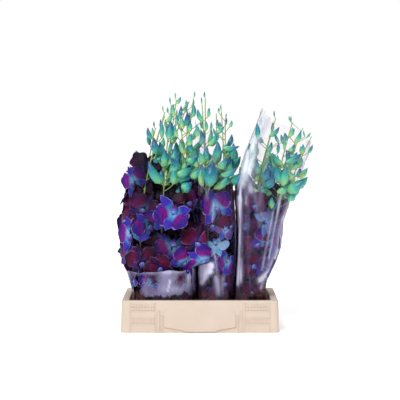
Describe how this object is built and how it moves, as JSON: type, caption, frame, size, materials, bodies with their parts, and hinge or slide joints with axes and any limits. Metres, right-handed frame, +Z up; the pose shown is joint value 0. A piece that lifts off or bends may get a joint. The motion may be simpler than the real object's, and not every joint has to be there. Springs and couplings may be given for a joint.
{
  "type": "dendrobium orchid sprays in crate",
  "caption": "Cut dendrobium orchid sprays with dyed blooms and green buds, in clear film sleeves, standing in a low moulded plastic crate.",
  "frame": {"origin": "centre of the crate's flat underside, on the surface it stands on", "axes": "+Z up along the stems, +X to the right of the embossed long side, which faces -Y"},
  "size_m": [0.3738, 0.2314, 0.4338],
  "materials": {
    "crate": "satin",
    "film": "gloss",
    "spray": "satin",
    "bloom": "satin",
    "bud": "satin",
    "stem": "satin"
  },
  "bodies": {
    "root": {"crate": "crate", "left_sleeve": "film", "middle_sleeve": "film", "right_sleeve": "film", "left_spray_1": "spray", "left_spray_2": "spray", "left_spray_3": "spray", "middle_spray_1": "spray", "middle_spray_2": "spray", "right_spray_1": "spray", "right_spray_2": "spray", "left_spray_4": "spray", "left_spray_5": "spray", "left_spray_6": "spray", "middle_spray_3": "spray", "right_spray_3": "spray", "right_spray_4": "spray", "left_spray_7": "spray", "left_spray_8": "spray", "left_spray_9": "spray", "middle_spray_4": "spray", "middle_spray_5": "spray", "right_spray_5": "spray", "right_spray_6": "spray"}
  },
  "joints": []
}
